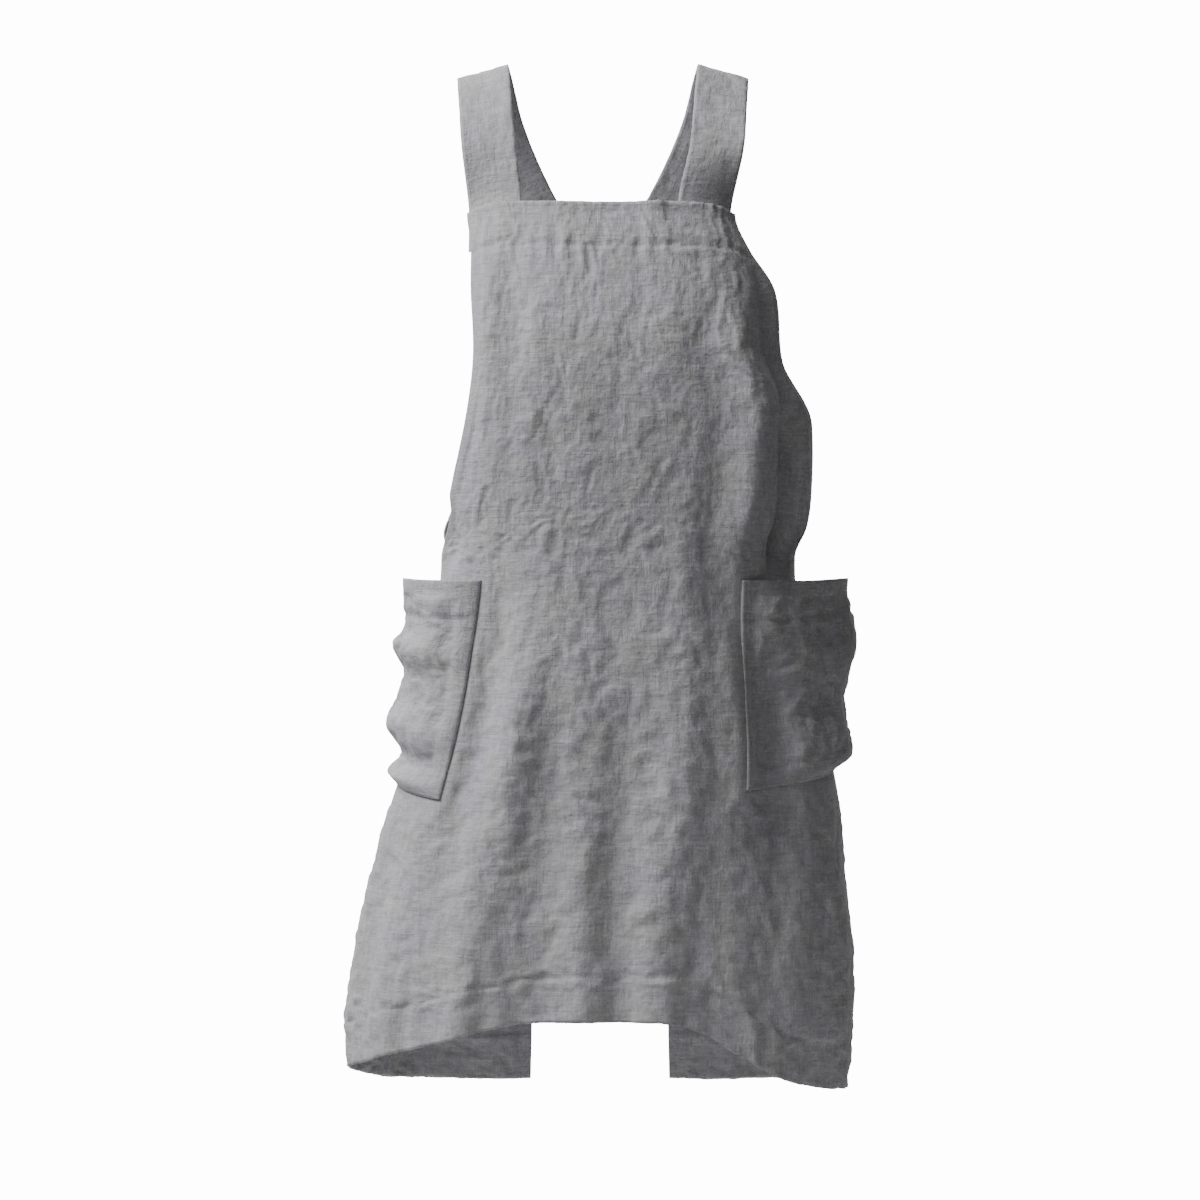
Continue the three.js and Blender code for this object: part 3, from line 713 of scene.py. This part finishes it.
def pocket(side):
    shape = POCKETS[side]
    sign = shape["sign"]
    full_at = curve(*shape["fullness"].values())
    down = np.linspace(0, 1, POCKET_ROWS)[:, None]
    across = np.linspace(0, 1, POCKET_COLUMNS)[None, :]
    turned = 1 - across if sign < 0 else across
    bottom = POCKET_MOUTH - shape["height"] + POCKET_LIFT * turned
    z = mix(POCKET_MOUTH, bottom, down)
    below_mouth = POCKET_MOUTH - z
    angle = sign * mix(mix(*shape["inner"], down), mix(*shape["outer"], down), turned)
    skew = mix(*shape["skew"], down)
    arch = np.clip(np.sin(math.pi * turned**skew), 0, 1) ** skew
    sewn = ease(np.minimum(turned, 1 - down), 0, 0.1)
    out = POCKET_BULGE * (full_at(down) * arch + sewn * dent_height(shape["dents"], turned, down))
    on_cloth = off_cloth(angle, z, np.full(out.shape, POCKET_GAP + CLOTH))
    form = on_cloth + outward(body_point, angle, z) * out[..., None]
    u = arc(form, POCKET_COLUMNS // 2) + sign * 700
    v = -z
    edge_left, edge_right = u - u[:, :1], u[:, -1:] - u
    to_side = np.minimum(edge_left, edge_right)
    to_edge = np.minimum(to_side, z - bottom)
    free = ease(to_edge, -4, 20) * mix(0.5, 1, ease(below_mouth, 0, 20))
    growth = 0.011 + 0.005 * waves(u, v, 60, 27)
    bumps = POCKET_CREASES * creases(u, v, 31 + sign) + puckers(below_mouth - POCKET_BAND, u, 25)
    bumps = bumps + 0.8 * waves(u, v, 15, 28) * np.exp(-to_side / 9)
    outer = crumple(form, bumps, free, growth)
    outer = pulled_in(outer, to_side, [below_mouth - POCKET_BAND], 1.7)
    thickness = CLOTH + HEM_EXTRA * (below_mouth < POCKET_BAND)
    on_panel = off_cloth(angle, z, 0)
    inner = np.where((to_edge < TURNED_EDGE)[..., None], on_panel, inner_face(outer, thickness))
    panel = Panel(outer)
    panel.stitch(below_mouth, POCKET_BAND)
    for inset in POCKET_STITCHES:
        panel.stitch(edge_left, inset, across=False)
        panel.stitch(edge_right, inset, across=False)
        panel.stitch(z - bottom, inset)
    return cloth_mesh(f"pocket_cloth_{side}", outer, inner, u, v), panel.stitching(f"pocket_stitches_{side}")


# Straps

STRAP_LINES = 5  # lines across a strap that it is first worked out on
FRONT_LAPS = (1, 0.5, -0.1)  # points of a strap's ends, as shares of STRAP_LAP past the band's edge
BACK_LAPS = (0, 0.4, 0.8)
CROSSING = 1.9  # height of the crossing, as a share of BIB_DROP down


def behind_band(x, z, back):
    """A point just inside the band of the bib, or of a back panel."""
    sign = np.sign(x)
    limits = (BACK_END, SIDE_SEAM) if back else (0, FRONT_END)
    angle = angle_at_x(x, z, sign * limits[0], sign * limits[1])
    return off_cloth(angle, z, -CLOTH - HEM_EXTRA - STRAP_GAP)


def strap_spread(sign):
    return STRAP_SPREAD if sign < 0 else STRAP_SPREAD * RIGHT_SPREAD


def strap_line(sign, width_share, over):
    """The points along a strap at one place across its width."""
    aside = width_share * STRAP_WIDTH / 2
    spread = sign * strap_spread(sign)
    bib_x = sign * (cloth_point(np.array(BIB_CORNER), top_height(BIB_CORNER))[0] - STRAP_WIDTH / 2)
    edge = top_height(angle_at_x(bib_x + aside, top_height(BIB_CORNER), 0, sign * FRONT_END))
    points = [behind_band(bib_x + aside, edge - lap * STRAP_LAP, False) for lap in FRONT_LAPS]
    across, depth, drop, lean = STRAP_PATH.values()
    centres = np.stack([across * spread, depth * HEM_DEPTH, -drop * BIB_DROP], axis=-1)
    last = len(centres) - 1
    for k, centre in enumerate(centres):
        along = centres[min(k + 1, last)] - centres[max(k - 1, 0)]
        turn = math.radians(lean[k])
        roll = math.radians(STRAP_ROLL) * math.sin(turn) * sign
        face = unit(np.array([math.sin(roll), -math.cos(turn), math.sin(turn)]))
        width = unit(np.cross(along, face))
        lift = over * (CLOTH + STRAP_GAP) * math.exp(-((across[k] / 0.35) ** 2))
        points.append(centre + width * aside + face * lift)
    corner_x = -sign * (BACK_GAP_TOP / 2 + STRAP_WIDTH * STRAP_CORNER)
    start = np.array([across[-1] * spread, -drop[-1] * BIB_DROP])
    stop = np.array([corner_x, BACK_CORNER_HEIGHT - STRAP_LAP * 0.2])
    along = unit(stop - start)
    width = np.array([-along[1], along[0]]) * aside
    for lap in BACK_LAPS:
        x, z = stop + along * lap * STRAP_LAP + width
        points.append(behind_band(x, z, True))
    return np.array(points)


def spline(points, steps=24):
    """A smooth line through points, with steps between one and the next."""
    padded = np.concatenate([[2 * points[0] - points[1]], points, [2 * points[-1] - points[-2]]])
    spans = []
    for i in range(1, len(padded) - 2):
        p0, p1, p2, p3 = padded[i - 1 : i + 3]
        t = np.linspace(0, 1, steps, endpoint=i == len(padded) - 3)[:, None]
        d1, d2 = (np.linalg.norm(q) ** 0.5 for q in (p2 - p1, p3 - p2))
        d0 = np.linalg.norm(p1 - p0) ** 0.5
        m1 = (p2 - p1) + d1 * ((p1 - p0) / d0 - (p2 - p0) / (d0 + d1))
        m2 = (p2 - p1) + d1 * ((p3 - p2) / d2 - (p3 - p1) / (d1 + d2))
        cubic = (2 * t**3 - 3 * t**2 + 1) * p1 + (t**3 - 2 * t**2 + t) * m1
        spans.append(cubic + (3 * t**2 - 2 * t**3) * p2 + (t**3 - t**2) * m2)
    return np.concatenate(spans)


def resampled(grid, count):
    """A grid of points with another number of rows, evenly placed between the first and the last."""
    places = np.linspace(0, len(grid) - 1, count)
    low = np.clip(places.astype(int), 0, len(grid) - 2)
    return mix(grid[low], grid[low + 1], (places - low)[:, None, None])


def strap(side, sign, over):
    """A strap, which lies a number of layers over the other one where they cross."""
    shares = np.linspace(1, -1, STRAP_LINES)
    lines = np.stack([spline(strap_line(sign, share, over)) for share in shares], axis=1)
    rows = resampled(lines, STRAP_ROWS)
    grid = resampled(rows.transpose(1, 0, 2), STRAP_COLUMNS).transpose(1, 0, 2)
    form = grid[::-1, ::-1]
    middle = STRAP_COLUMNS // 2
    u = arc(form, middle) + sign * 1000
    v = arc(form[:, middle][None])[0][:, None] + 0 * u
    to_end = np.minimum(v, v[-1, 0] - v)
    crossing = np.exp(-(((form[..., 2] + CROSSING * BIB_DROP) / 40) ** 2))
    free = ease(to_end, STRAP_LAP, STRAP_LAP + 40) * (1 - 0.8 * crossing)
    growth = 0.003 + 0.002 * waves(u, v, 60, 37)
    bumps = 0.7 * creases(u, v, 41 + sign, coarse=0.6)
    outer = crumple(form, bumps, free, growth)
    inner = inner_face(outer, np.full(u.shape, CLOTH + STRAP_EXTRA))
    panel = Panel(outer)
    panel.stitch(u - u[:, :1], STRAP_STITCHES, across=False)
    panel.stitch(u[:, -1:] - u, STRAP_STITCHES, across=False)
    return cloth_mesh(f"strap_cloth_{side}", outer, inner, u, v), panel.stitching(f"strap_stitches_{side}")


# Material


class Wire:
    """A node's output socket, which can be added, multiplied and so on with sockets and numbers."""

    def __init__(self, tree, socket):
        self.tree, self.socket = tree, socket

    def beside(self, name):
        """Another output of the same node."""
        return Wire(self.tree, self.socket.node.outputs[name])

    def _maths(self, operation, a, b=0.0):
        return wire(self.tree, "ShaderNodeMath", {"operation": operation}, {0: a, 1: b})

    def __add__(self, other):
        return self._maths("ADD", self, other)

    def __sub__(self, other):
        return self._maths("SUBTRACT", self, other)

    def __mul__(self, other):
        return self._maths("MULTIPLY", self, other)

    def __radd__(self, other):
        return self._maths("ADD", other, self)

    def __rsub__(self, other):
        return self._maths("SUBTRACT", other, self)

    def __rmul__(self, other):
        return self._maths("MULTIPLY", other, self)

    def wave(self, length):
        return self._maths("SINE", self * (2 * math.pi / length))


def plug(tree, value, socket):
    if isinstance(value, Wire):
        tree.links.new(value.socket, socket)
    else:
        socket.default_value = value


def wire(tree, kind, settings, inputs, output=0):
    """A new node's output, from its type, its settings, and the values or wires of its inputs."""
    node = tree.nodes.new(kind)
    for name, value in (settings or {}).items():
        setattr(node, name, value)
    for name, value in inputs.items():
        plug(tree, value, node.inputs[name])
    return Wire(tree, node.outputs[output])


def scaled(tree, colour, tone):
    return wire(tree, "ShaderNodeVectorMath", {"operation": "SCALE"}, {0: colour, "Scale": tone})


def new_material(name):
    """A material, with its node tree and its shader's inputs."""
    material = bpy.data.materials.new(name)
    material.use_nodes = True
    tree = material.node_tree
    return material, tree, tree.nodes["Principled BSDF"].inputs


def linen():
    """Plain-weave linen: slubby threads both ways, small crinkles and pebbling with painted shade in their
    hollows and painted light on their crests, and a slightly uneven dye.
    """
    material, tree, shader = new_material("washed_linen")
    uv = wire(tree, "ShaderNodeTexCoord", None, {}, "UV")
    along_x = wire(tree, "ShaderNodeSeparateXYZ", None, {0: uv}, "X")
    x, y = along_x * 1000, along_x.beside("Y") * 1000

    def noise(across, down, detail=2.0, rough=0.5, bend=0.0, offset=0.0):
        """Noise about zero, with patches so many millimetres across and down."""
        inputs = {"X": x * (1 / across), "Y": y * (1 / down), "Z": offset}
        place = wire(tree, "ShaderNodeCombineXYZ", None, inputs)
        inputs = {"Vector": place, "Scale": 1.0, "Detail": detail, "Roughness": rough, "Distortion": bend}
        return wire(tree, "ShaderNodeTexNoise", None, inputs) - 0.5

    warp = noise(0.8, 22, offset=3.1)
    weft = noise(22, 0.8, offset=7.7)
    thick_warp = noise(1.9, 60, offset=1.3)
    thick_weft = noise(60, 1.9, offset=5.9)
    long_crinkle = noise(11, 5, detail=1.0, rough=0.4, bend=0.4, offset=2.2)
    tall_crinkle = noise(5, 11, detail=1.0, rough=0.4, bend=0.4, offset=8.6)
    crinkle = long_crinkle + tall_crinkle
    pebble = noise(4.2, 4.6, rough=0.6, bend=0.3, offset=9.4)
    dye = noise(70, 90, detail=3.0, rough=0.6, bend=0.2, offset=4.8)
    threads = x.wave(WEAVE) * y.wave(WEAVE)
    slubs = warp + weft + 0.45 * (thick_warp + thick_weft)

    # The crinkle and pebble terms darken the colour where their bumps are low and lighten it where they are
    # high: painted shade in the hollows and painted light on the crests.
    tone = 1 + 0.45 * slubs + 0.25 * crinkle + 0.25 * dye + 0.2 * pebble
    tint = noise(30, 45, bend=0.4, offset=6.1) * 2.2 + 0.45
    mixed = wire(tree, "ShaderNodeMix", {"data_type": "VECTOR"}, {0: tint, 4: LINEN_COLOUR, 5: LINEN_WARM}, 1)
    colour = scaled(tree, mixed, tone)
    height = 0.05 * threads + 0.35 * slubs + 0.9 * crinkle + 0.6 * pebble
    bump = wire(tree, "ShaderNodeBump", None, {"Strength": 1.0, "Distance": METRES, "Height": height})
    plug(tree, colour, shader["Base Color"])
    plug(tree, 0.88 + 0.2 * slubs, shader["Roughness"])
    plug(tree, bump, shader["Normal"])
    plug(tree, 0.25, shader["Specular IOR Level"])
    plug(tree, 0.12, shader["Sheen Weight"])
    plug(tree, 0.5, shader["Sheen Roughness"])
    return material


def sewing_thread():
    """Thread with a fine, uneven tone."""
    material, tree, shader = new_material("sewing_thread")
    place = wire(tree, "ShaderNodeTexCoord", None, {}, "Object")
    fibre = wire(tree, "ShaderNodeTexNoise", None, {"Vector": place, "Scale": 900.0, "Detail": 1.0})
    plug(tree, scaled(tree, THREAD_COLOUR, 0.8 + 0.4 * fibre), shader["Base Color"])
    plug(tree, 0.7, shader["Roughness"])
    return material


# Stage

CAMERA_DISTANCE = 3.5  # metres, as are all sizes here
CAMERA_HEIGHT = -0.55
CAMERA_LENS = 100.8
FLOOR_HEIGHT = -1.4
FLOOR_RADIUS = 1.1
FLOOR_TONE = 0.6


def camera():
    data = bpy.data.cameras.new("camera")
    data.lens = CAMERA_LENS
    data.sensor_width = 36
    data.clip_end = 60
    view = bpy.data.objects.new("camera", data)
    view.location = (0, -CAMERA_DISTANCE, CAMERA_HEIGHT)
    view.rotation_euler = (math.pi / 2, 0, 0)
    bpy.context.scene.collection.objects.link(view)
    bpy.context.scene.camera = view


def area_light(name, energy, size, azimuth, height, distance):
    """A square light that faces the apron from an azimuth, in degrees from the front towards the right."""
    data = bpy.data.lights.new(name, "AREA")
    data.energy = energy
    data.size = size
    light = bpy.data.objects.new(name, data)
    turn = math.radians(azimuth)
    light.location = (distance * math.sin(turn), -distance * math.cos(turn), height)
    light.rotation_euler = (math.pi / 2 - math.atan2(height - CAMERA_HEIGHT, distance), 0, turn)
    bpy.context.scene.collection.objects.link(light)


def surroundings():
    """A white backdrop behind the apron, and a faint warm light all round it."""
    world = bpy.data.worlds.new("studio")
    bpy.context.scene.world = world
    world.use_nodes = True
    tree = world.node_tree
    around = tree.nodes["Background"]
    plug(tree, (1, 0.985, 0.97, 1), around.inputs["Color"])
    plug(tree, 0.085, around.inputs["Strength"])
    behind = wire(tree, "ShaderNodeBackground", None, {"Color": (1, 1, 1, 1), "Strength": 14})
    seen = wire(tree, "ShaderNodeLightPath", None, {}, "Is Camera Ray")
    blend = wire(tree, "ShaderNodeMixShader", None, {0: seen, 1: Wire(tree, around.outputs[0]), 2: behind})
    plug(tree, blend, tree.nodes["World Output"].inputs["Surface"])


def floor():
    place = (0, 0, FLOOR_HEIGHT)
    bpy.ops.mesh.primitive_circle_add(vertices=96, radius=FLOOR_RADIUS, fill_type="NGON", location=place)
    ground = bpy.context.object
    ground.name = "floor"
    material, tree, shader = new_material("pale_floor")
    plug(tree, (FLOOR_TONE, FLOOR_TONE, FLOOR_TONE, 1), shader["Base Color"])
    ground.data.materials.append(material)


# Assembly


def dress(made, node):
    """One piece of cloth with its stitches, in place of its node."""
    sheet, stitches = made
    sheet.data.materials.append(cloth)
    stitches.data.materials.append(thread)
    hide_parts(node)


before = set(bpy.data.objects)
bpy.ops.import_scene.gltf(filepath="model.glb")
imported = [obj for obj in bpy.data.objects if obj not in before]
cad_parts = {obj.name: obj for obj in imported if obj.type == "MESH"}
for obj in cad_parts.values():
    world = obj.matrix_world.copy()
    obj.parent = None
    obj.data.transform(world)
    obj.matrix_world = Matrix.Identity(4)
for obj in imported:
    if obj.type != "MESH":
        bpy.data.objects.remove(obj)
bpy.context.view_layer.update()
camera()
surroundings()
floor()
area_light("key", energy=210, size=1.8, azimuth=-66, height=1.7, distance=2.4)
area_light("fill", energy=13, size=2.0, azimuth=10, height=1.7, distance=3.0)
area_light("back_key", energy=90, size=1.6, azimuth=-150, height=1.2, distance=2.8)
area_light("side_fill", energy=40, size=2.0, azimuth=150, height=0.8, distance=3.0)
cloth, thread = linen(), sewing_thread()
dress(front_panel(), "front_panel")
for side, sign, over in (("left", -1, 0), ("right", 1, 2)):
    dress(back_panel(side, sign), f"back_panel_{side}")
    dress(pocket(side), f"pocket_{side}")
    dress(strap(side, sign, over), f"shoulder_strap_{side}")
